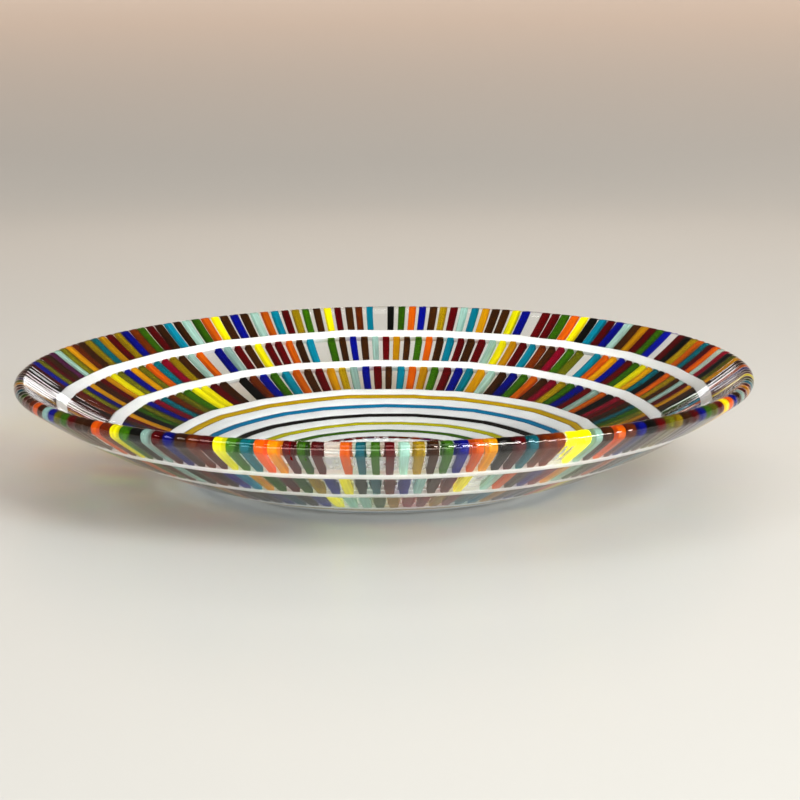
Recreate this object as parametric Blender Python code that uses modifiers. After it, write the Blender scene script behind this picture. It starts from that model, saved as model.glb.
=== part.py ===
"""A shallow art glass bowl, fused from strips of coloured and clear sheet glass and slumped.

Three bands of strip panels are parted by opaque white rings, around a floor of concentric rings.
Units are metres, +Z is up, and the origin is the middle of the flat base.
"""

import math

import bmesh
import bpy

MM = 0.001
COLLECTION = "art_glass_bowl"
GAP = 0.3 * MM
STEPS_PER_TURN = 60
SHARP_ANGLE = math.radians(30.0)

# The rim is a half round between the inside and the outside surface.
RIM_RADIUS = 190.0 * MM
RIM_ROUND = 3.5 * MM
RIM_CENTRE_HEIGHT = 55.0 * MM
RIM_TILT = math.radians(36.0)
RIM_ROUND_STEPS = 10

# The inside surface is a flat floor and one arc that is tangent to it.
FLOOR_RADIUS = 32.0 * MM
FLOOR_THICKNESS = 6.0 * MM
INSIDE_ARC = 250.0 * MM

# Outer radii, on the inside surface, of what lies below the rim, in the order in which it is met.
OUTER_WHITE_RADIUS = 169.3 * MM
MIDDLE_BAND_RADIUS = 163.7 * MM
MIDDLE_WHITE_RADIUS = 144.4 * MM
INNER_BAND_RADIUS = 138.1 * MM
INNER_WHITE_RADIUS = 115.5 * MM
CENTRE_RADIUS = 109.1 * MM

# The rings of the floor: thin coloured strips with wider white ones between them.
COLOURED_RING_WIDTH = 4.0 * MM
WHITE_RING_WIDTH = 7.9 * MM
CENTRE_COLOURS = ("amber", "turquoise", "black", "olive", "green", "dark_red", "cobalt", "orange")

# The joints stand about square to the slumped wall, so each comes out below this much further from the axis
# than it starts. Inside the second pair of rings the lean dies away to nothing at the flat floor.
JOINT_LEAN = 3.2 * MM
FULL_LEAN_RADIUS = CENTRE_RADIUS - 2 * (COLOURED_RING_WIDTH + WHITE_RING_WIDTH)

# The outside surface is a flat foot under all but the first two pairs of rings,
# and one arc that leaves the table at an angle.
FOOT_RADIUS = FULL_LEAN_RADIUS + JOINT_LEAN
FOOT_SLOPE = math.radians(17.5)
OUTSIDE_ARC = 325.0 * MM

OUTER_PANELS = 12
MIDDLE_PANELS = 12
INNER_PANELS = 10
PANEL_TINTS = ("strip_warm", "strip_cool", "strip_green")

# Colour, roughness and transmission of each kind of glass.
GLASSES = {
    "strip_warm": ((0.62, 0.22, 0.06), 0.05, 0.7),
    "strip_cool": ((0.10, 0.30, 0.55), 0.05, 0.7),
    "strip_green": ((0.28, 0.40, 0.10), 0.05, 0.7),
    "white": ((0.90, 0.91, 0.90), 0.08, 0.0),
    "amber": ((0.72, 0.45, 0.02), 0.06, 0.3),
    "turquoise": ((0.00, 0.28, 0.50), 0.06, 0.0),
    "black": ((0.01, 0.01, 0.01), 0.06, 0.0),
    "olive": ((0.55, 0.50, 0.02), 0.06, 0.0),
    "green": ((0.06, 0.20, 0.01), 0.06, 0.0),
    "dark_red": ((0.16, 0.00, 0.01), 0.06, 0.0),
    "cobalt": ((0.00, 0.01, 0.33), 0.06, 0.0),
    "orange": ((0.75, 0.14, 0.00), 0.06, 0.0),
}


def clear_scene():
    for obj in list(bpy.data.objects):
        bpy.data.objects.remove(obj, do_unlink=True)


def new_collection(name):
    collection = bpy.data.collections.new(name)
    bpy.context.scene.collection.children.link(collection)
    return collection


def make_glass(name, colour, roughness, transmission):
    material = bpy.data.materials.new(f"{name}_glass")
    material.use_nodes = True
    material.diffuse_color = (*colour, 1.0)
    shader = material.node_tree.nodes["Principled BSDF"]
    shader.inputs["Base Color"].default_value = (*colour, 1.0)
    shader.inputs["Roughness"].default_value = roughness
    shader.inputs["Metallic"].default_value = 0.0
    shader.inputs["IOR"].default_value = 1.5
    shader.inputs["Transmission Weight"].default_value = transmission
    return material


def inside_height(radius):
    run = max(radius - FLOOR_RADIUS, 0.0)
    return FLOOR_THICKNESS + INSIDE_ARC - math.sqrt(INSIDE_ARC**2 - run**2)


def outside_height(radius):
    if radius <= FOOT_RADIUS:
        return 0.0
    run = OUTSIDE_ARC * math.sin(FOOT_SLOPE) + radius - FOOT_RADIUS
    return OUTSIDE_ARC * math.cos(FOOT_SLOPE) - math.sqrt(OUTSIDE_ARC**2 - run**2)


def under_joint(radius):
    """The radius where a joint that starts at this radius on the inside comes out on the outside."""
    share = (radius - FLOOR_RADIUS) / (FULL_LEAN_RADIUS - FLOOR_RADIUS)
    return radius + JOINT_LEAN * min(max(share, 0.0), 1.0)


def surface_points(height, first_radius, last_radius, segments):
    """Points along a surface of the bowl between two radii, both ends included."""
    points = []
    for index in range(segments + 1):
        radius = first_radius + (last_radius - first_radius) * index / segments
        points.append((radius, height(radius)))
    return points


def rim_points():
    """The rim's half round, from the inside surface over the edge to the outside surface."""
    centre_radius = RIM_RADIUS - RIM_ROUND
    points = []
    for index in range(RIM_ROUND_STEPS + 1):
        angle = math.pi / 2 + RIM_TILT - math.pi * index / RIM_ROUND_STEPS
        points.append(
            (
                centre_radius + RIM_ROUND * math.cos(angle),
                RIM_CENTRE_HEIGHT + RIM_ROUND * math.sin(angle),
            )
        )
    return points


def ring_profile(inner_radius, outer_radius, segments):
    """A closed section between two joints, whose outer side runs from top to bottom."""
    top = surface_points(inside_height, inner_radius + GAP / 2, outer_radius - GAP / 2, segments)
    below_outer = under_joint(outer_radius) - GAP / 2
    below_inner = under_joint(inner_radius) + GAP / 2
    return top + surface_points(outside_height, below_outer, below_inner, segments)


def rim_band_profile(inner_radius):
    """The section of the outer band, which ends in the rounded rim."""
    rim = rim_points()
    top = surface_points(inside_height, inner_radius + GAP / 2, rim[0][0], 2)[:-1]
    bottom = surface_points(outside_height, rim[-1][0], under_joint(inner_radius) + GAP / 2, 2)[1:]
    return top + rim + bottom


def section_face(mesh, profile, turn):
    """The profile as one face that stands in the plane through the axis at the angle turn."""
    corners = []
    for radius, height in profile:
        corners.append(mesh.verts.new((radius * math.cos(turn), radius * math.sin(turn), height)))
    return mesh.faces.new(corners)


def finish_object(obj, material, collection):
    for polygon in obj.data.polygons:
        polygon.use_smooth = True
    obj.data.materials.append(material)
    collection.objects.link(obj)


def make_panel(name, profile, start, sweep, steps, material, collection):
    """A closed sector of a band: the section spun about the bowl's axis."""
    mesh = bmesh.new()
    face = section_face(mesh, profile, start)
    bmesh.ops.spin(
        mesh,
        geom=[face, *face.edges, *face.verts],
        cent=(0.0, 0.0, 0.0),
        axis=(0.0, 0.0, 1.0),
        angle=sweep,
        steps=steps,
        use_duplicate=False,
    )
    bmesh.ops.recalc_face_normals(mesh, faces=mesh.faces)
    data = bpy.data.meshes.new(name)
    mesh.to_mesh(data)
    mesh.free()
    obj = bpy.data.objects.new(name, data)
    finish_object(obj, material, collection)
    data.set_sharp_from_angle(angle=SHARP_ANGLE)


def make_band(name, count, profile, materials, collection):
    pitch = math.tau / count
    gap_turn = GAP / min(radius for radius, _ in profile)
    for index in range(count):
        tint = PANEL_TINTS[index % len(PANEL_TINTS)]
        make_panel(
            f"{name}_panel_{index + 1:02d}",
            profile,
            pitch * index + gap_turn / 2,
            pitch - gap_turn,
            STEPS_PER_TURN // count,
            materials[tint],
            collection,
        )


def make_ring(name, profile, material, collection):
    """A full ring: the outline of its section turned by a Screw modifier."""
    data = bpy.data.meshes.new(name)
    vertices = [(radius, 0.0, height) for radius, height in profile]
    edges = [(index, (index + 1) % len(profile)) for index in range(len(profile))]
    data.from_pydata(vertices, edges, [])
    obj = bpy.data.objects.new(name, data)
    screw = obj.modifiers.new("turn", "SCREW")
    screw.axis = "Z"
    screw.steps = STEPS_PER_TURN
    screw.render_steps = STEPS_PER_TURN
    screw.use_merge_vertices = True
    screw.merge_threshold = 0.01 * MM
    screw.use_smooth_shade = True
    finish_object(obj, material, collection)


def make_disc(name, radius, material, collection):
    """The middle of the floor: a flat round plate."""
    bpy.ops.mesh.primitive_cylinder_add(
        vertices=STEPS_PER_TURN,
        radius=radius - GAP / 2,
        depth=FLOOR_THICKNESS,
        location=(0.0, 0.0, FLOOR_THICKNESS / 2),
    )
    obj = bpy.context.active_object
    obj.name = name
    obj.data.materials.append(material)
    for owner in list(obj.users_collection):
        owner.objects.unlink(obj)
    collection.objects.link(obj)


def make_white_rings(materials, collection):
    edges = {
        "outer_white_ring": (MIDDLE_BAND_RADIUS, OUTER_WHITE_RADIUS),
        "middle_white_ring": (INNER_BAND_RADIUS, MIDDLE_WHITE_RADIUS),
        "inner_white_ring": (CENTRE_RADIUS, INNER_WHITE_RADIUS),
    }
    for name, (inner, outer) in edges.items():
        make_ring(name, ring_profile(inner, outer, 1), materials["white"], collection)


def make_floor(materials, collection):
    """Concentric rings from the inner white ring to the middle, ending in a white disc."""
    outer = CENTRE_RADIUS
    for index, colour in enumerate(CENTRE_COLOURS):
        inner = outer - COLOURED_RING_WIDTH
        make_ring(f"floor_ring_{colour}", ring_profile(inner, outer, 1), materials[colour], collection)
        outer = inner
        if index < len(CENTRE_COLOURS) - 1:
            inner = outer - WHITE_RING_WIDTH
            name = f"floor_ring_white_{index + 1}"
            make_ring(name, ring_profile(inner, outer, 1), materials["white"], collection)
            outer = inner
    make_disc("floor_disc_white", outer, materials["white"], collection)


def main():
    clear_scene()
    collection = new_collection(COLLECTION)
    materials = {name: make_glass(name, *values) for name, values in GLASSES.items()}
    make_band("outer", OUTER_PANELS, rim_band_profile(OUTER_WHITE_RADIUS), materials, collection)
    middle_profile = ring_profile(MIDDLE_WHITE_RADIUS, MIDDLE_BAND_RADIUS, 2)
    make_band("middle", MIDDLE_PANELS, middle_profile, materials, collection)
    inner_profile = ring_profile(INNER_WHITE_RADIUS, INNER_BAND_RADIUS, 2)
    make_band("inner", INNER_PANELS, inner_profile, materials, collection)
    make_white_rings(materials, collection)
    make_floor(materials, collection)


main()
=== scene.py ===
"""Looks of the strip-built fused-glass bowl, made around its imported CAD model.

One clear glass body carries the polish and the refraction. Strips and rings of coloured glass lie in it,
a fraction of a millimetre under the surface, where the CAD panels and rings are.
"""

import bisect
import math
import random

import bpy
import numpy as np
from mathutils import Matrix, Vector


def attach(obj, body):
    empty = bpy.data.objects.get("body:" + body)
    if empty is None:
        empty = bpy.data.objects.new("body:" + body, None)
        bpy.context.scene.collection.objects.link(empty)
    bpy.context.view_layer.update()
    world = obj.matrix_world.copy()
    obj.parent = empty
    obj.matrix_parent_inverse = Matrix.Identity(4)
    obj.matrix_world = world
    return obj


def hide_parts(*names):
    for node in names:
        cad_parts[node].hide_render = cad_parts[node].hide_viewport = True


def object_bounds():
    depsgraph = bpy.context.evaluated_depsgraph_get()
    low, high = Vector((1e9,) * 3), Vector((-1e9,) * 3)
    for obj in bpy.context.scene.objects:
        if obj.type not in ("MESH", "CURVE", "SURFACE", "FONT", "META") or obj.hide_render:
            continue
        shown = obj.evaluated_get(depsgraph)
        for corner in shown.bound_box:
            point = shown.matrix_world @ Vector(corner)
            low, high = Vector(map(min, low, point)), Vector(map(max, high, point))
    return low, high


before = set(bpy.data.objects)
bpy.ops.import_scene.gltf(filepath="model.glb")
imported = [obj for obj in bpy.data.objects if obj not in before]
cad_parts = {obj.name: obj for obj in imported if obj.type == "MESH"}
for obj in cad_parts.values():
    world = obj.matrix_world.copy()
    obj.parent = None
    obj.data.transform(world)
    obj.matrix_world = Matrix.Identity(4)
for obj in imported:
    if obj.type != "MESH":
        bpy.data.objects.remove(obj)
CAD_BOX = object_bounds()

MM = 0.001
BODY = "root"

# Profile of the bowl, as in the CAD source.
RIM_RADIUS = CAD_BOX[1][0]
RIM_TOP = CAD_BOX[1][2]
RIM_ROUND = 3.5 * MM
RIM_TILT = math.radians(36)
FLOOR_RADIUS = 32 * MM
FLOOR_THICKNESS = 6 * MM
INSIDE_ARC = 250 * MM
FOOT_RADIUS = 88.5 * MM
FOOT_SLOPE = math.radians(17.5)
OUTSIDE_ARC = 325 * MM
RIM_CENTRE = (RIM_RADIUS - RIM_ROUND, RIM_TOP - RIM_ROUND)

# Where the coloured glass lies in the clear body.
COVER = 0.22 * MM  # clear glass over the coloured glass
RING_CLEARANCE = 0.12 * MM  # between a strip's end and the ring beyond it
STRIP_SHARE = 0.58  # a coloured strip's share of the pitch; the rest is a clear strip
STRIP_EDGE = 0.35 * MM  # depth of the softened long edges of a strip
STRIP_FLAT = 0.86  # share of a strip's width between its softened edges
STRIP_END = 0.7 * MM  # length over which a strip's end is rounded
RING_EDGE = 0.7 * MM  # softness of a ring's edges
FLOOR_RING_WANDER = 0.55 * MM  # how far the pieces of the floor's rings are out of line
WHITE_RING_WANDER = 0.5 * MM  # the same on the three white rings between the bands
PIECE_ANGLE = 0.27  # angle that the shortest pieces of the rings take, seen from the axis
STRAIGHTNESS = 0.35  # how far the pieces of a ring are from bent to its round, to straight
JOINT_PAINTED_SHADE = 0.6  # painted shade: a ring's joint faces are painted this much darker, for the shade the strips beside them cast
JOINT_LEAN = 3.2 * MM  # how much further out than on the inside a joint comes out below, as in the CAD
FULL_LEAN_RADIUS = 85.3 * MM  # the joints lean by this much from here outwards, and less towards the middle

# How the slumped wall is out of round, and how uneven its surface is.
RIM_SAG = 1.8 * MM  # how much lower the rim's left and right sides settled than its front and back
INSIDE_SAG = 2.3 * MM  # how much further the inside of the wall settled there, half way up
RIB_DEPTH = 0.2 * MM  # how far the surface dips between two strips
RIB_FADE = 3 * MM  # distance over which the ribs fade out next to a white ring
RIM_RIBS = 0.8  # how much deeper the ribs are on the rim, as a share of RIB_DEPTH
RIM_RIBS_FADE = 8 * MM  # distance from the rim over which that extra depth fades out
WAVE_DEPTH = 0.05 * MM  # depth of the slow waves all over the surface
AXIS_GAP = 0.2 * MM  # radius of the small faces at the axis that close the clear body
DISC_HOLE = 0.05 * MM  # the same of the white disc
BODY_STEPS, WALL_RING_STEPS, FLOOR_RING_STEPS, DISC_STEPS = 1456, 480, 360, 96  # points round each piece

# The colours of the strips, read round the bowl from its left side: first along the back to its right side,
# then again from the left along the front. The letters are keys of COLOURS. A dot is clear glass only.
OUTER_BACK = (
    "krbornPaogwn" "mtgrmbwerncnaeOynbnaOcrmenyrnwc" ".keObnmracgnnyb.rreOykcrbangreb.rkmOtrOaxkogn"
)
OUTER_FRONT = (
    "krnkbognrtkernw" "Onaboern.Owyekarbnwr" "yetOgrer.Ote"
    "ramnebOgkrtww." "yanOwbkromnrbeo" "ryObnargrcenyrkbOn"
)
MIDDLE_BACK = "kwrobgnrgyobgoOtxmnaO.barnyrrOnc.enbnargneOncrnraygrcwnxeo.cOgbreygtkOmnargnk"
MIDDLE_FRONT = (
    "rnoxgbkeraOnmtrycgbnOerakwnbcge" "rembyktrbanry.aOnb" "xgaerOknctmroybnegwrakbOcne"
)
INNER_BACK = "nrgkeobxtwoeyyrn.kwbecOnrgmabrncOgerbcganbeOnxmebraOkxrnteogr"
INNER_FRONT = "bgrnOeycxkanmrtOwbegrkn" "btnbyaae" "mxxmxt" "cgrbnOyekxagmrtbnOcerwgk"

# How many strips would fill the whole round at the pitch of a band's back half and at that of its front
# half, and how far the middle of the first strip is from the left side, in strips.
STRIPS_PER_TURN = {"outer": (175, 189), "middle": (153, 153), "inner": (122, 122)}
FIRST_STRIP = {"outer": 0.42, "middle": 0.40, "inner": 0.91}

# Of each colour: its name, the colour, how much of it scatters light, and the CAD slot it belongs to.
COLOURS = {
    "r": ("dark_red", (0.115, 0.0, 0.001), 0.5, "dark_red_glass"),
    "x": ("crimson", (0.27, 0.0, 0.02), 0.5, "dark_red_glass"),
    "O": ("orange", (0.62, 0.125, 0.0), 0.55, "orange_glass"),
    "w": ("red_brown", (0.17, 0.026, 0.0), 0.45, "strip_glass_warm"),
    "n": ("dark_brown", (0.055, 0.016, 0.001), 0.45, "strip_glass_warm"),
    "g": ("gold", (0.58, 0.30, 0.0), 0.45, "amber_glass"),
    "m": ("olive_amber", (0.36, 0.25, 0.0), 0.4, "amber_glass"),
    "y": ("yellow", (0.86, 0.80, 0.0), 0.6, "strip_glass_warm"),
    "o": ("olive", (0.17, 0.17, 0.003), 0.4, "olive_glass"),
    "e": ("green", (0.04, 0.145, 0.0), 0.45, "green_glass"),
    "t": ("teal", (0.0, 0.15, 0.20), 0.45, "turquoise_glass"),
    "c": ("cyan", (0.0, 0.24, 0.36), 0.5, "turquoise_glass"),
    "a": ("light_aqua", (0.36, 0.54, 0.50), 0.45, "strip_glass_cool"),
    "b": ("cobalt", (0.0, 0.003, 0.27), 0.45, "cobalt_glass"),
    "P": ("plum", (0.12, 0.015, 0.08), 0.4, "dark_red_glass"),
    "k": ("black", (0.003, 0.003, 0.002), 0.7, "black_glass"),
}
# Of each coloured ring on the floor: the colour and the CAD slot.
FLOOR_COLOURS = {
    "amber": ((0.64, 0.42, 0.0), "amber_glass"),
    "turquoise": ((0.0, 0.23, 0.46), "turquoise_glass"),
    "black": ((0.004, 0.003, 0.002), "black_glass"),
    "olive": ((0.60, 0.57, 0.0), "olive_glass"),
    "green": ((0.05, 0.17, 0.0), "green_glass"),
    "dark_red": ((0.13, 0.0, 0.002), "dark_red_glass"),
    "cobalt": ((0.0, 0.005, 0.27), "cobalt_glass"),
    "orange": ((0.62, 0.125, 0.0), "orange_glass"),
}
WHITE = (0.90, 0.915, 0.925)
# How much of the white glass and of the floor's coloured rings scatters light.
WHITE_SOLID, RING_SOLID = 0.97, 0.8
# How much of the light each kind of glass keeps from passing through its solid share.
WHITE_SHADE, RING_SHADE, STRIP_SHADE = 0.55, 0.9, 0.25
PASSES = 0.5  # share of the scattered light that comes out on the far side of a piece
SHADE_FADES = (0.2, 0.26, 0.6)  # how strongly each channel's colour shows in the light that passes through
TABLE_BEHIND = 0.55  # brightness of the table behind the glass, against which the glass shows its colour

# Colours of the lights.
KEY_LIGHT, SOFT_LIGHT, LOW_LIGHT = (1.0, 0.99, 0.965), (1.0, 0.99, 0.97), (1.0, 0.98, 0.94)
FILL_LIGHT, BOUNCE_LIGHT = (1.0, 0.985, 0.94), (1.0, 0.97, 0.90)
WINDOW_LIGHT = (0.97, 0.985, 1.0)
BACKDROP_LIGHT, WARM_LIGHT = (1.0, 0.88, 0.78), (1.0, 0.70, 0.50)


def inside_height(r):
    """Height of the inside surface at a radius."""
    return FLOOR_THICKNESS + INSIDE_ARC - math.sqrt(INSIDE_ARC**2 - max(r - FLOOR_RADIUS, 0) ** 2)


def outside_height(r):
    """Height of the outside surface at a radius."""
    if r <= FOOT_RADIUS:
        return 0.0
    across = OUTSIDE_ARC * math.sin(FOOT_SLOPE) + r - FOOT_RADIUS
    return OUTSIDE_ARC * math.cos(FOOT_SLOPE) - math.sqrt(OUTSIDE_ARC**2 - across**2)


def rim_point(turn, radius):
    """A point of the rim's round, by its angle above the level."""
    return RIM_CENTRE[0] + radius * math.cos(turn), RIM_CENTRE[1] + radius * math.sin(turn)


def under_joint(r):
    """The radius where a joint that starts at this radius on the inside comes out on the outside."""
    share = (r - FLOOR_RADIUS) / (FULL_LEAN_RADIUS - FLOOR_RADIUS)
    return r + JOINT_LEAN * min(max(share, 0.0), 1.0)


def spaced(low, high, count):
    """Evenly spaced values with both ends."""
    return [low + (high - low) * k / (count - 1) for k in range(count)]


def ring_span(node):
    """Inner and outer radius of a CAD ring on the inside surface of the bowl."""
    places = [(math.hypot(v.co.x, v.co.y), v.co.z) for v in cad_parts[node].data.vertices]
    radii = [r for r, z in places if z > (inside_height(r) + outside_height(r)) / 2]
    return min(radii), max(radii)


def settled(x, y, z):
    """A point of the bowl after the slight saddle that slumping left in its wall."""
    r = math.hypot(x, y)
    if r <= FOOT_RADIUS:
        return x, y, z
    up = (r - FOOT_RADIUS) / (RIM_RADIUS - FOOT_RADIUS)
    low, high = outside_height(r), inside_height(r)
    inside = min(max((z - low) / (high - low), 0.0), 1.0)
    sag = RIM_SAG * up**2 + INSIDE_SAG * 4 * up * (1 - up) * inside
    return x, y, z - sag * (x / r) ** 2


def make_object(name, verts, faces, material, attributes, smooth_angle):
    """A mesh object with one material and (name, kind, values) attributes on its points."""
    mesh = bpy.data.meshes.new(name)
    mesh.from_pydata(verts, [], faces)
    mesh.update()
    for key, kind, values in attributes:
        layer = mesh.attributes.new(key, kind, "POINT")
        layer.data.foreach_set("vector" if kind == "FLOAT_VECTOR" else "value", np.ravel(values))
    mesh.polygons.foreach_set("use_smooth", [True] * len(mesh.polygons))
    mesh.set_sharp_from_angle(angle=math.radians(smooth_angle))
    mesh.materials.append(material)
    obj = bpy.data.objects.new(name, mesh)
    bpy.context.scene.collection.objects.link(obj)
    return obj


# ---------------------------------------------------------------- the order of the strips


def strips_round(band, back, front):
    """(letter, middle angle, pitch) of each strip of a band. Both strings start at the bowl's left side."""
    back_pitch, front_pitch = (2 * math.pi / count for count in STRIPS_PER_TURN[band])
    phase = FIRST_STRIP[band]
    out = [(letter, math.pi - (k + phase) * back_pitch, back_pitch) for k, letter in enumerate(back)]
    for k, letter in enumerate(front):
        out.append((letter, -math.pi + (k + 1 - phase) * front_pitch, front_pitch))
    return [strip for strip in out if strip[0] != "."]


def bands():
    """(name, inner radius, outer radius, strips) of the three bands of strips. The outer one is the rim."""
    outer_in, outer_out = ring_span("outer_white_ring")
    middle_in, middle_out = ring_span("middle_white_ring")
    inner_in, inner_out = ring_span("inner_white_ring")
    return (
        ("outer", outer_out, None, strips_round("outer", OUTER_BACK, OUTER_FRONT)),
        ("middle", middle_out, outer_in, strips_round("middle", MIDDLE_BACK, MIDDLE_FRONT)),
        ("inner", inner_out, middle_in, strips_round("inner", INNER_BACK, INNER_FRONT)),
    )


# ---------------------------------------------------------------- strips


def strip_stations(r_in, r_out):
    """(top, bottom, width factor) at places along a strip, from its inner end to its outer end. Without an
    outer radius, the outer end follows the rim's round."""
    start = r_in + RING_CLEARANCE
    ends = ((0.0, 0.92), (0.15, 0.97), (0.45, 1.0), (1.0, 1.0))
    out = []

    def station(r, width):
        low = under_joint(r)
        out.append(((r, inside_height(r) - COVER), (low, outside_height(low) + COVER), width))

    for at, width in ends:
        station(start + at * STRIP_END, width)
    if r_out is None:
        top_in = rim_point(RIM_TILT + math.pi / 2, RIM_ROUND)[0]
        bottom_in = rim_point(RIM_TILT - math.pi / 2, RIM_ROUND)[0]
        for k in range(1, 5):
            r1 = start + STRIP_END + (top_in - start - STRIP_END) * k / 5
            low = under_joint(start + STRIP_END)
            r2 = low + (bottom_in - low) * k / 5
            out.append(((r1, inside_height(r1) - COVER), (r2, outside_height(r2) + COVER), 1.0))
        for turn in (90, 75, 60, 45, 30, 15, 4):
            pair = [rim_point(RIM_TILT + s * math.radians(turn), RIM_ROUND - COVER) for s in (1, -1)]
            out.append((pair[0], pair[1], 1.0))
    else:
        stop = r_out - RING_CLEARANCE
        for r in spaced(start + STRIP_END, stop - STRIP_END, 6)[1:-1]:
            station(r, 1.0)
        for at, width in reversed(ends):
            station(stop - at * STRIP_END, width)
    return out


def add_strip(made, stations, angle, pitch, rng):
    """One strip of glass: a lofted bar with its long edges softened, a little uneven in width and line."""
    verts, faces, coords, tones = made
    base = len(verts)
    half = STRIP_SHARE * pitch / 2 * rng.uniform(0.9, 1.1)
    lean = rng.uniform(-0.03, 0.03) * pitch
    bow = rng.uniform(-0.035, 0.035) * pitch
    centre = angle + rng.uniform(-0.04, 0.04) * pitch
    tone, number = rng.uniform(0.82, 1.12), rng.uniform(0, 50)
    last = len(stations) - 1
    for k, (top, bottom, width) in enumerate(stations):
        t = k / last
        middle = centre + lean * (t - 0.5) + bow * math.sin(math.pi * t)
        w = half * width
        thick = top[1] - bottom[1]
        edge = min(STRIP_EDGE, 0.3 * max(abs(thick), 1e-5))
        lo_r, lo_z, hi_r, hi_z = bottom[0], bottom[1], top[0], top[1]
        length = max(math.hypot(hi_r - lo_r, hi_z - lo_z), 1e-6)
        er, ez = (hi_r - lo_r) / length * edge, (hi_z - lo_z) / length * edge
        loop = (
            (-STRIP_FLAT, hi_r, hi_z), (STRIP_FLAT, hi_r, hi_z),
            (1.0, hi_r - er, hi_z - ez), (1.0, lo_r + er, lo_z + ez),
            (STRIP_FLAT, lo_r, lo_z), (-STRIP_FLAT, lo_r, lo_z),
            (-1.0, lo_r + er, lo_z + ez), (-1.0, hi_r - er, hi_z - ez),
        )
        for side, r, z in loop:
            a = middle + w * side
            verts.append(settled(r * math.cos(a), r * math.sin(a), z))
            coords.append((side * w * r * 1000, r * 1000, number))
            tones.append(tone)
        if k:
            for i in range(8):
                j = (i + 1) % 8
                a, b = base + (k - 1) * 8, base + k * 8
                faces.append((a + i, a + j, b + j, b + i))
    faces.append(tuple(base + i for i in range(7, -1, -1)))
    faces.append(tuple(base + last * 8 + i for i in range(8)))


def make_strips(materials):
    """All strips, one object for each colour. They end at the wandering edges of the white rings."""
    rng = random.Random(11)
    made = {letter: ([], [], [], []) for letter in COLOURS}
    edges = ring_edges()
    beyond = {"outer": None, "middle": edges["outer"], "inner": edges["middle"]}
    for name, r_in, r_out, strips in bands():
        for letter, angle, pitch in strips:
            start = r_in + edges[name](angle)
            stop = r_out and r_out + beyond[name](angle)
            add_strip(made[letter], strip_stations(start, stop), angle, pitch, rng)
    for letter, (verts, faces, coords, tones) in made.items():
        name, _, _, slot = COLOURS[letter]
        attributes = (("strip_at", "FLOAT_VECTOR", coords), ("tone", "FLOAT", tones))
        obj = make_object("strips_" + name, verts, faces, materials[letter], attributes, 50)
        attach(obj, BODY)


# ---------------------------------------------------------------- rings


def kinks(seed, size, apart, radius=0.0):
    """A radius offset round a ring that is laid from short pieces end to end. Each piece is a little in or
    out of line with the next, and on a ring of the given radius it is straighter than the ring's round."""
    rng = random.Random(seed)
    count = max(5, round(2 * math.pi / apart))
    bend = STRAIGHTNESS * radius * apart**2 / 8
    starts = [2 * math.pi * (k + rng.uniform(-0.25, 0.25)) / count for k in range(count)]
    joints = [rng.uniform(-size, size) for _ in range(count)]
    slips = [(rng.uniform(-0.4, 0.4) * size, rng.uniform(-0.4, 0.4) * size) for _ in range(count)]

    def offset(a):
        a = (a - starts[0]) % (2 * math.pi) + starts[0]
        k = bisect.bisect_right(starts, a) - 1
        stop = starts[k + 1] if k + 1 < count else starts[0] + 2 * math.pi
        t = (a - starts[k]) / (stop - starts[k])
        first, last = joints[k] + slips[k][0], joints[(k + 1) % count] + slips[k][1]
        return first + (last - first) * t + bend * (0.67 - 4 * t * (1 - t))

    return offset


def ring_edges():
    """How the three white rings between the bands wander."""
    radii = {part: ring_span(part + "_white_ring")[0] for part in ("outer", "middle", "inner")}
    return {
        part: kinks(20 + k, WHITE_RING_WANDER, PIECE_ANGLE + 0.05 * k, radius)
        for k, (part, radius) in enumerate(radii.items())
    }


def add_ring(name, r_in, r_out, inner_edge, outer_edge, material, slot, node, steps, seed):
    """A ring of glass pieces laid end to end: a swept bar with soft edges between two wandering edges."""
    rng = random.Random(seed)
    verts, faces, tones = [], [], []
    tone_at = kinks(seed + 1, 0.04, 0.5)
    for k in range(steps):
        a = 2 * math.pi * k / steps
        lo, hi = r_in + inner_edge(a), r_out + outer_edge(a)
        soft = min(RING_EDGE, (hi - lo) * 0.3)
        top_dip = rng.uniform(0, 0.03) * MM
        row = []
        for r, drop in (
            (lo, 1.0), (lo + 0.35 * soft, 0.35), (lo + soft, 0.0), ((lo + hi) / 2, 0.0),
            (hi - soft, 0.0), (hi - 0.35 * soft, 0.35), (hi, 1.0),
        ):
            row.append((r, inside_height(r) - COVER - top_dip - drop * 0.8 * soft))
        low_hi, low_lo = under_joint(hi), under_joint(lo)
        for r, drop in ((low_hi, 1.0), (low_hi - soft, 0.0), (low_lo + soft, 0.0), (low_lo, 1.0)):
            row.append((r, outside_height(r) + COVER + drop * 0.6 * soft))
        n = len(row)
        joint_corners = (0, 6, 7, n - 1)  # the corners of the section that end its two joint faces
        for i, (r, z) in enumerate(row):
            verts.append(settled(r * math.cos(a), r * math.sin(a), z))
            # the corners of the joint faces are painted darker, a painted shade for the shade of the strips
            # beside them
            tones.append((1.0 + tone_at(a)) * (JOINT_PAINTED_SHADE if i in joint_corners else 1.0))
        here, there = k * n, ((k + 1) % steps) * n
        for i in range(n):
            j = (i + 1) % n
            faces.append((here + i, here + j, there + j, there + i))
    obj = make_object(name, verts, faces, material, (("tone", "FLOAT", tones),), 60)
    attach(obj, BODY)
    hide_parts(node)


def make_white_rings(white):
    """The three white rings between the bands of strips and round the floor."""
    for seed, (part, edge) in enumerate(ring_edges().items()):
        node = part + "_white_ring"
        name = part + "_ring_of_white_glass"
        add_ring(name, *ring_span(node), edge, edge, white, "white_glass", node, WALL_RING_STEPS, seed)


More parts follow.
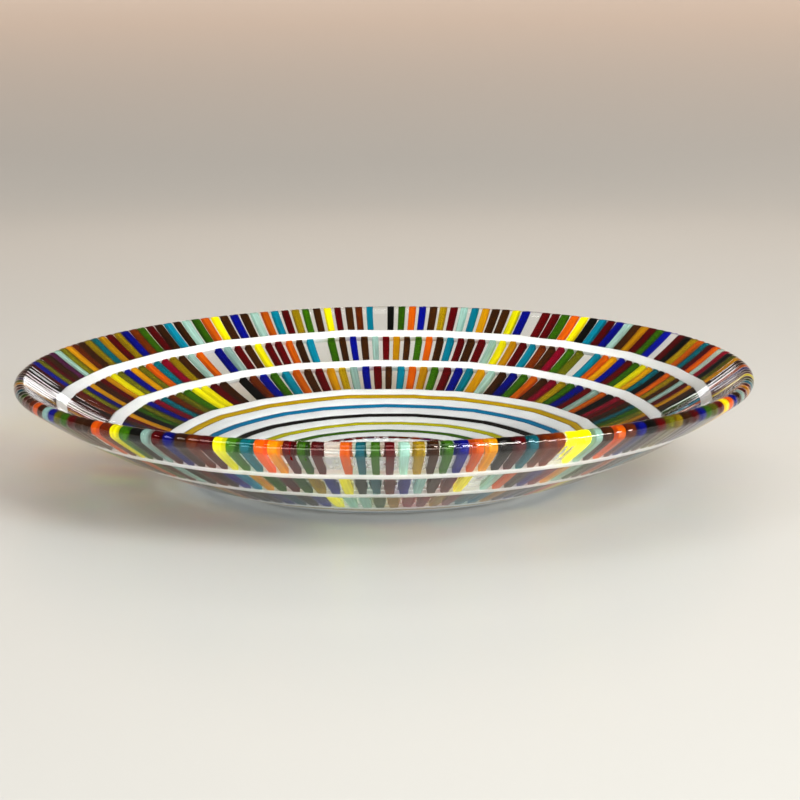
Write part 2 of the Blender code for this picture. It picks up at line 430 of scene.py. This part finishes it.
def make_floor_rings(white, materials):
    """The rings of the floor, from the outside in. They share their joint lines, and a coloured ring wanders
    as a whole between white ones. Returns the edge of the disc that is left in the middle."""
    names = [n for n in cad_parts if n.startswith("floor_ring_")]
    spans = sorted(((ring_span(n), n) for n in names), reverse=True)
    edge_out = ring_edges()["inner"]
    for k, ((r_in, r_out), node) in enumerate(spans):
        if "white" in node:
            material, slot = white, "white_glass"
            edge_in = kinks(50 + k, FLOOR_RING_WANDER, PIECE_ANGLE + 0.04 * (k % 3), r_in)
        else:
            colour = node.removeprefix("floor_ring_")
            material, slot = materials[colour], FLOOR_COLOURS[colour][1]
            edge_in = edge_out
        name = node + "_glass"
        add_ring(name, r_in, r_out, edge_in, edge_out, material, slot, node, FLOOR_RING_STEPS, 70 + k)
        edge_out = edge_in
    return edge_out


def make_floor_disc(white, edge_out):
    """The white disc in the middle of the floor."""
    r_out = ring_span("floor_disc_white")[1]
    verts, faces, tones = [], [], []
    steps, rows = DISC_STEPS, []
    for f, drop in ((0.0, 0.0), (0.4, 0.0), (0.8, 0.0), (0.97, 0.0), (0.99, 0.3), (1.0, 1.0)):
        rows.append((f, FLOOR_THICKNESS - COVER - drop * 0.5 * MM))
    for f, drop in ((1.0, 1.0), (0.97, 0.0), (0.5, 0.0), (0.0, 0.0)):
        rows.append((f, COVER + drop * 0.5 * MM))
    for f, z in rows:
        for k in range(steps):
            a = 2 * math.pi * k / steps
            r = f * (r_out + edge_out(a)) if f else DISC_HOLE
            verts.append(settled(r * math.cos(a), r * math.sin(a), z))
            tones.append(1.0)
    for i in range(len(rows) - 1):
        for k in range(steps):
            j = (k + 1) % steps
            faces.append((i * steps + k, (i + 1) * steps + k, (i + 1) * steps + j, i * steps + j))
    faces.append(tuple(range(steps)))
    faces.append(tuple((len(rows) - 1) * steps + k for k in reversed(range(steps))))
    obj = make_object("floor_disc_white_glass", verts, faces, white, (("tone", "FLOAT", tones),), 60)
    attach(obj, BODY)
    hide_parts("floor_disc_white")


# ---------------------------------------------------------------- the clear body


def body_profile():
    """(radius, height) along the surface, from the underside's middle over the rim to the floor's middle."""
    points = [(r, 0.0) for r in spaced(AXIS_GAP, FOOT_RADIUS, 8)]
    bottom_in = rim_point(RIM_TILT - math.pi / 2, RIM_ROUND)[0]
    top_in = rim_point(RIM_TILT + math.pi / 2, RIM_ROUND)[0]
    points += [(r, outside_height(r)) for r in spaced(FOOT_RADIUS, bottom_in, 26)[1:-1]]
    for turn in spaced(-90, 90, 17):
        points.append(rim_point(RIM_TILT + math.radians(turn), RIM_ROUND))
    points += [(r, inside_height(r)) for r in spaced(top_in, FLOOR_RADIUS, 40)[1:]]
    points += [(r, inside_height(r)) for r in spaced(FLOOR_RADIUS, AXIS_GAP, 8)[1:]]
    return points


def make_ribs():
    """A function for how far the surface dips between two strips, as a share of RIB_DEPTH."""
    rng = random.Random(5)
    band_list = bands()
    depths = {name: [rng.uniform(0.25, 1.0) for _ in range(200)] for name in STRIPS_PER_TURN}

    def rib(a, r):
        a %= 2 * math.pi
        for name, r_in, r_out, _ in band_list:
            if r > r_in and (r_out is None or r < r_out):
                turns = a / (2 * math.pi) * STRIPS_PER_TURN[name][0 if a < math.pi else 1]
                fade = min(1.0, (r - r_in) / RIB_FADE, 1.0 if r_out is None else (r_out - r) / RIB_FADE)
                fade += RIM_RIBS * max(0.0, 1 - (RIM_RADIUS - r) / RIM_RIBS_FADE)
                wide = 0.5 - 0.5 * math.cos(2 * math.pi * turns)
                fine = 0.5 - 0.5 * math.cos(4 * math.pi * turns + 1.0)
                return fade * depths[name][int(turns)] * (0.75 * wide + 0.25 * fine)
        return 0.0

    return rib


def inward_normals(points):
    """Unit normals of a profile, pointing into the glass."""
    last = len(points) - 1
    normals = []
    for k in range(len(points)):
        p, q = points[max(k - 1, 0)], points[min(k + 1, last)]
        dr, dz = q[0] - p[0], q[1] - p[1]
        length = math.hypot(dr, dz)
        normals.append((-dz / length, dr / length))
    return normals


def make_body(clear):
    """The clear glass that everything lies in: a turned shell with faint ribs over the strips."""
    rib = make_ribs()
    points = body_profile()
    normals = inward_normals(points)
    uneven = [0.0 if r <= FOOT_RADIUS and z < 1e-6 else 1.0 for r, z in points]
    # Outside, the ribs follow the leaning joints, so they go by the radius where a joint starts inside.
    above = [r if z > (inside_height(r) + outside_height(r)) / 2 else r - JOINT_LEAN for r, z in points]
    n = len(points)
    verts, faces = [], []
    for s in range(BODY_STEPS):
        a = 2 * math.pi * s / BODY_STEPS
        ca, sa = math.cos(a), math.sin(a)
        for (r, z), (nr, nz), d, over in zip(points, normals, uneven, above):
            wave = 0.5 + 0.25 * math.sin(5 * a + r * 90) + 0.25 * math.sin(11 * a - r * 160 + 1.3)
            inward = d * (RIB_DEPTH * rib(a, over) + WAVE_DEPTH * wave * min(1, r / 0.02))
            rr, zz = r + nr * inward, z + nz * inward
            verts.append(settled(rr * ca, rr * sa, zz))
    for s in range(BODY_STEPS):
        t = (s + 1) % BODY_STEPS
        for k in range(n - 1):
            faces.append((s * n + k, t * n + k, t * n + k + 1, s * n + k + 1))
    faces.append(tuple(s * n for s in reversed(range(BODY_STEPS))))
    faces.append(tuple(s * n + n - 1 for s in range(BODY_STEPS)))
    body = make_object("clear_glass_body", verts, faces, clear, (), 28)
    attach(body, BODY)
    panels = [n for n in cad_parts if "_panel_" in n]
    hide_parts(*panels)
    return body


# ---------------------------------------------------------------- materials


def new_material(name):
    """An empty node material: the material, its nodes and links, and its output node."""
    mat = bpy.data.materials.new(name)
    mat.use_nodes = True
    nodes, links = mat.node_tree.nodes, mat.node_tree.links
    nodes.clear()
    return mat, nodes, links, nodes.new("ShaderNodeOutputMaterial")


def mix_of(nodes, links, factor, first, second):
    """A Mix Shader. The factor is a number or a node's output."""
    mix = nodes.new("ShaderNodeMixShader")
    if isinstance(factor, (int, float)):
        mix.inputs["Fac"].default_value = factor
    else:
        links.new(factor, mix.inputs["Fac"])
    links.new(first, mix.inputs[1])
    links.new(second, mix.inputs[2])
    return mix.outputs[0]


def clear_glass():
    """Polished clear glass with a very slight unevenness. Its shadow is almost clear."""
    mat, nodes, links, out = new_material("clear_glass")
    glass = nodes.new("ShaderNodeBsdfPrincipled")
    glass.inputs["Base Color"].default_value = (0.985, 0.995, 0.99, 1)
    glass.inputs["Roughness"].default_value = 0.0
    glass.inputs["IOR"].default_value = 1.5
    glass.inputs["Transmission Weight"].default_value = 1.0
    noise = nodes.new("ShaderNodeTexNoise")
    noise.inputs["Scale"].default_value = 140
    noise.inputs["Detail"].default_value = 1.5
    where = nodes.new("ShaderNodeTexCoord")
    links.new(where.outputs["Object"], noise.inputs["Vector"])
    bump = nodes.new("ShaderNodeBump")
    bump.inputs["Strength"].default_value = 0.12
    bump.inputs["Distance"].default_value = 0.0004
    links.new(noise.outputs["Fac"], bump.inputs["Height"])
    links.new(bump.outputs["Normal"], glass.inputs["Normal"])
    shadow = nodes.new("ShaderNodeBsdfTransparent")
    shadow.inputs["Color"].default_value = (0.96, 0.97, 0.965, 1)
    path = nodes.new("ShaderNodeLightPath")
    surface = mix_of(nodes, links, path.outputs["Is Shadow Ray"], glass.outputs[0], shadow.outputs[0])
    links.new(surface, out.inputs["Surface"])
    return mat


def tinted(nodes, links, strength, colour):
    """The colour times the pattern's strength."""
    scale = nodes.new("ShaderNodeVectorMath")
    scale.operation = "SCALE"
    scale.inputs[0].default_value = colour
    links.new(strength, scale.inputs["Scale"])
    return scale.outputs[0]


def streaks(nodes, links, streaked):
    """Brightness of the glass: each piece's tone (painted shade on ring joints), times streaks drawn out
    along it or soft clouds.
    """
    tone = nodes.new("ShaderNodeAttribute")
    tone.attribute_name = "tone"
    noise = nodes.new("ShaderNodeTexNoise")
    noise.inputs["Detail"].default_value = 3
    spread = nodes.new("ShaderNodeMapRange")
    spread.inputs["From Min"].default_value = 0.3
    spread.inputs["From Max"].default_value = 0.7
    if streaked:
        where = nodes.new("ShaderNodeAttribute")
        where.attribute_name = "strip_at"
        stretch = nodes.new("ShaderNodeVectorMath")
        stretch.operation = "MULTIPLY"
        stretch.inputs[1].default_value = (1.6, 0.05, 1.0)
        links.new(where.outputs["Vector"], stretch.inputs[0])
        links.new(stretch.outputs[0], noise.inputs["Vector"])
        noise.inputs["Scale"].default_value = 1.0
        spread.inputs["To Min"].default_value, spread.inputs["To Max"].default_value = 0.76, 1.24
    else:
        where = nodes.new("ShaderNodeTexCoord")
        links.new(where.outputs["Object"], noise.inputs["Vector"])
        noise.inputs["Scale"].default_value = 60
        spread.inputs["To Min"].default_value, spread.inputs["To Max"].default_value = 0.96, 1.03
    links.new(noise.outputs["Fac"], spread.inputs["Value"])
    strength = nodes.new("ShaderNodeMath")
    strength.operation = "MULTIPLY"
    links.new(spread.outputs["Result"], strength.inputs[0])
    links.new(tone.outputs["Fac"], strength.inputs[1])
    return strength.outputs[0]


def coloured_glass(name, colour, solid, streaked, opaque):
    """Coloured glass inside the clear glass. solid is how much of it scatters light; the rest lets it
    through in its own tint. Met from outside the clear glass, as an export meets it, it is solid throughout.
    opaque is how much light the solid share keeps from what lies behind it."""
    mat, nodes, links, out = new_material(name)
    strength = streaks(nodes, links, streaked)
    body = tinted(nodes, links, strength, colour)
    front = nodes.new("ShaderNodeBsdfDiffuse")
    behind = nodes.new("ShaderNodeBsdfTranslucent")
    for shader in (front, behind):
        links.new(body, shader.inputs["Color"])
    scatter = mix_of(nodes, links, PASSES, front.outputs[0], behind.outputs[0])
    clear = nodes.new("ShaderNodeBsdfTransparent")
    face_tint = tuple(min(1.0, c / TABLE_BEHIND) ** 0.5 for c in colour)
    links.new(tinted(nodes, links, strength, face_tint), clear.inputs["Color"])
    through = mix_of(nodes, links, solid, clear.outputs[0], scatter)
    shadow = nodes.new("ShaderNodeBsdfTransparent")
    dim = 1 - opaque * solid
    shade = [dim * min(1.0, c / TABLE_BEHIND) ** fade for c, fade in zip(colour, SHADE_FADES)]
    shadow.inputs["Color"].default_value = (*shade, 1)
    path = nodes.new("ShaderNodeLightPath")
    inside = mix_of(nodes, links, path.outputs["Is Transmission Ray"], scatter, through)
    surface = mix_of(nodes, links, path.outputs["Is Shadow Ray"], inside, shadow.outputs[0])
    links.new(surface, out.inputs["Surface"])
    return mat


def table_top():
    """A pale, faintly cloudy table top with a soft gloss, which turns warmer where the backdrop rises."""
    mat, nodes, links, out = new_material("pale_table_top")
    shader = nodes.new("ShaderNodeBsdfPrincipled")
    noise = nodes.new("ShaderNodeTexNoise")
    noise.inputs["Scale"].default_value = 3
    noise.inputs["Detail"].default_value = 4
    ramp = nodes.new("ShaderNodeValToRGB")
    ramp.color_ramp.elements[0].color = (0.48, 0.49, 0.475, 1)
    ramp.color_ramp.elements[1].color = (0.51, 0.52, 0.505, 1)
    links.new(noise.outputs["Fac"], ramp.inputs["Fac"])
    where = nodes.new("ShaderNodeTexCoord")
    split = nodes.new("ShaderNodeSeparateXYZ")
    risen = nodes.new("ShaderNodeMapRange")
    risen.inputs["From Max"].default_value = 0.25
    warm = nodes.new("ShaderNodeMix")
    warm.data_type = "RGBA"
    warm.inputs[7].default_value = (0.60, 0.49, 0.41, 1)
    links.new(where.outputs["Object"], split.inputs[0])
    links.new(split.outputs["Z"], risen.inputs["Value"])
    links.new(risen.outputs["Result"], warm.inputs[0])
    links.new(ramp.outputs["Color"], warm.inputs[6])
    links.new(warm.outputs[2], shader.inputs["Base Color"])
    shader.inputs["Roughness"].default_value = 0.42
    shader.inputs["IOR"].default_value = 1.45
    links.new(shader.outputs[0], out.inputs["Surface"])
    return mat


# ---------------------------------------------------------------- stage, lights and camera


def make_stage():
    """A round table top that sweeps up into a low backdrop all round, with no edge or horizon in view."""
    flat, outer, high, low, steps = 1.4, 2.4, 0.38, -0.3 * MM, 128
    rows = [(flat * k / 4, low) for k in range(1, 5)]
    for turn in spaced(0, math.pi / 2, 17)[1:]:
        rows.append((flat + (outer - flat) * math.sin(turn), low + high * (1 - math.cos(turn))))
    verts, faces = [(0, 0, low)], []
    for r, z in rows:
        verts += [(r * math.cos(a), r * math.sin(a), z) for a in spaced(0, 2 * math.pi, steps + 1)[:-1]]
    for k in range(steps):
        j = (k + 1) % steps
        faces.append((0, 1 + k, 1 + j))
        for i in range(len(rows) - 1):
            here, there = 1 + i * steps, 1 + (i + 1) * steps
            faces.append((here + k, there + k, there + j, here + j))
    floor = make_object("table", verts, faces, table_top(), (), 60)
    return floor


def add_light(name, place, towards, size, power, colour):
    """A rectangular light at one place, turned towards another."""
    light = bpy.data.lights.new(name, "AREA")
    light.shape = "RECTANGLE"
    light.size, light.size_y = size
    light.energy = power
    light.color = colour
    obj = bpy.data.objects.new(name, light)
    obj.location = place
    obj.rotation_euler = (Vector(towards) - Vector(place)).to_track_quat("-Z", "Y").to_euler()
    bpy.context.scene.collection.objects.link(obj)
    return obj


def studio_world():
    """Plain surroundings: warm and pale near the level, dim higher up, so that the glass mirrors little."""
    world = bpy.data.worlds.new("studio")
    world.use_nodes = True
    nodes, links = world.node_tree.nodes, world.node_tree.links
    where = nodes.new("ShaderNodeTexCoord")
    split = nodes.new("ShaderNodeSeparateXYZ")
    ramp = nodes.new("ShaderNodeValToRGB")
    links.new(where.outputs["Generated"], split.inputs[0])
    links.new(split.outputs["Z"], ramp.inputs["Fac"])
    stops = (
        (0.0, (0.42, 0.33, 0.26)), (0.13, (0.30, 0.24, 0.20)),
        (0.22, (0.09, 0.08, 0.07)), (1.0, (0.07, 0.07, 0.07)),
    )
    elements = ramp.color_ramp.elements
    elements[0].position, elements[1].position = stops[0][0], stops[-1][0]
    elements[0].color, elements[1].color = (*stops[0][1], 1), (*stops[-1][1], 1)
    for at, colour in stops[1:-1]:
        elements.new(at).color = (*colour, 1)
    links.new(ramp.outputs["Color"], nodes["Background"].inputs["Color"])
    nodes["Background"].inputs["Strength"].default_value = 1.0
    bpy.context.scene.world = world


def shines_only_on(light, *pieces):
    """Limit what a light falls on."""
    group = bpy.data.collections.new("lit_by_" + light.name)
    for piece in pieces:
        group.objects.link(piece)
    light.light_linking.receiver_collection = group


def make_lights(body, glass, floor):
    """Soft light from the front and above. Some lights fall only on the glass and others only on the table,
    to match the brightness of each in the photo. The window is only a pale reflection in the clear glass."""
    studio_world()
    middle = (0, 0, 0.02)
    add_light("front_right", (0.95, -1.45, 1.25), middle, (0.7, 0.7), 36, KEY_LIGHT)
    add_light("low_right", (1.75, -1.1, 0.65), middle, (1.0, 0.4), 28, KEY_LIGHT)
    add_light("left", (-1.4, -0.8, 1.6), middle, (0.8, 0.8), 9, SOFT_LIGHT)
    overhead = add_light("overhead", (0.2, -1.1, 2.3), middle, (2.0, 1.4), 14, SOFT_LIGHT)
    bounce = add_light("bounce", (0, -0.5, 0.004), (0, -0.2, 0.3), (1.3, 0.5), 20, BOUNCE_LIGHT)
    low_front = add_light("low_front", (-0.2, -2.1, 0.5), middle, (3.0, 0.8), 36, LOW_LIGHT)
    for light in (overhead, bounce, low_front):
        shines_only_on(light, *glass)
    fill = add_light("fill", (0, -0.7, 2.5), middle, (3.0, 3.0), 50, FILL_LIGHT)
    backdrop = add_light("backdrop_light", (0.4, 1.1, 1.7), (0.4, 1.5, 0), (2.4, 1.0), 14, BACKDROP_LIGHT)
    glow = add_light("warm_glow", (0, 1.25, 0.75), (0, 0.35, 0), (2.0, 0.5), 4, WARM_LIGHT)
    for light in (fill, backdrop, glow):
        shines_only_on(light, floor)
    window = add_light("window", (-0.09, 2.1, 0.355), (-0.16, 0, 0.04), (0.26, 0.27), 0.6, WINDOW_LIGHT)
    shines_only_on(window, body)
    fill.data.use_shadow = False
    bounce.visible_glossy = bounce.visible_transmission = False
    for light in (bounce, low_front, window):
        light.visible_camera = False


def make_camera():
    """Where the photograph was taken from: 0.9 m away and 0.22 m up, looking 11.8 degrees down."""
    place = (0, -0.8956, 0.2246)
    pitch, yaw, roll = math.radians(11.815), math.radians(0.518), math.radians(-0.475)
    ahead = Vector((math.sin(yaw) * math.cos(pitch), math.cos(yaw) * math.cos(pitch), -math.sin(pitch)))
    level = ahead.cross(Vector((0, 0, 1))).normalized()
    up = level.cross(ahead)
    right = level * math.cos(roll) + up * math.sin(roll)
    top = up * math.cos(roll) - level * math.sin(roll)
    data = bpy.data.cameras.new("camera")
    data.lens, data.sensor_width = 78.3, 36
    camera = bpy.data.objects.new("camera", data)
    camera.matrix_world = Matrix(
        ((right.x, top.x, -ahead.x, place[0]), (right.y, top.y, -ahead.y, place[1]),
         (right.z, top.z, -ahead.z, place[2]), (0, 0, 0, 1))
    )
    bpy.context.scene.collection.objects.link(camera)
    bpy.context.scene.camera = camera


def main():
    """Everything in view, from the materials to the camera."""
    white = coloured_glass("white_glass", WHITE, WHITE_SOLID, False, WHITE_SHADE)
    strip_glass = {
        letter: coloured_glass(name + "_strip_glass", colour, solid, True, STRIP_SHADE)
        for letter, (name, colour, solid, _) in COLOURS.items()
    }
    ring_glass = {
        name: coloured_glass(name + "_ring_glass", colour, RING_SOLID, False, RING_SHADE)
        for name, (colour, _) in FLOOR_COLOURS.items()
    }
    body = make_body(clear_glass())
    make_strips(strip_glass)
    make_white_rings(white)
    make_floor_disc(white, make_floor_rings(white, ring_glass))
    glass = [obj for obj in bpy.context.scene.objects if obj.type == "MESH"]
    make_lights(body, glass, make_stage())
    make_camera()
    scene = bpy.context.scene
    scene.view_settings.view_transform = "Standard"
    scene.cycles.max_bounces = 24
    scene.cycles.transmission_bounces = 16
    scene.cycles.transparent_max_bounces = 48


main()
